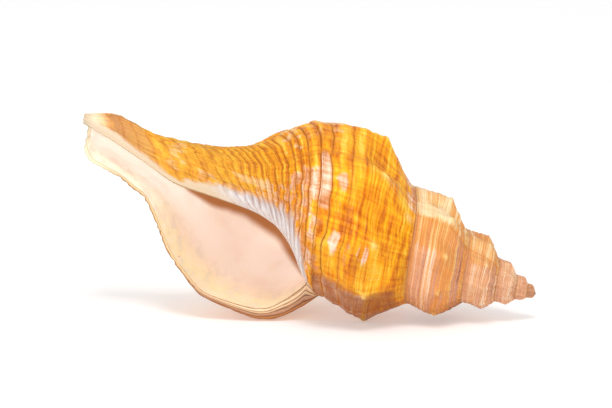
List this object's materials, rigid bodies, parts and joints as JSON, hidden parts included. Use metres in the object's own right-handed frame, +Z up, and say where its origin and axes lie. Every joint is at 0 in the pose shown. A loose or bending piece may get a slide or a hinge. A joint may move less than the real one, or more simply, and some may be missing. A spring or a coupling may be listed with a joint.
{
  "type": "conch shell",
  "caption": "Long spindle-shaped sea shell with a stepped, knobbed spire, a wide open mouth and a long open canal, lying on its side.",
  "frame": {"origin": "middle of the shell's footprint on the floor it rests on", "axes": "+X from the canal end towards the tip of the spire, +Y away from the mouth, +Z up"},
  "size_m": [0.1398, 0.0634, 0.063],
  "materials": {
    "shell": "satin"
  },
  "bodies": {
    "root": {"shell": "shell"}
  },
  "joints": []
}
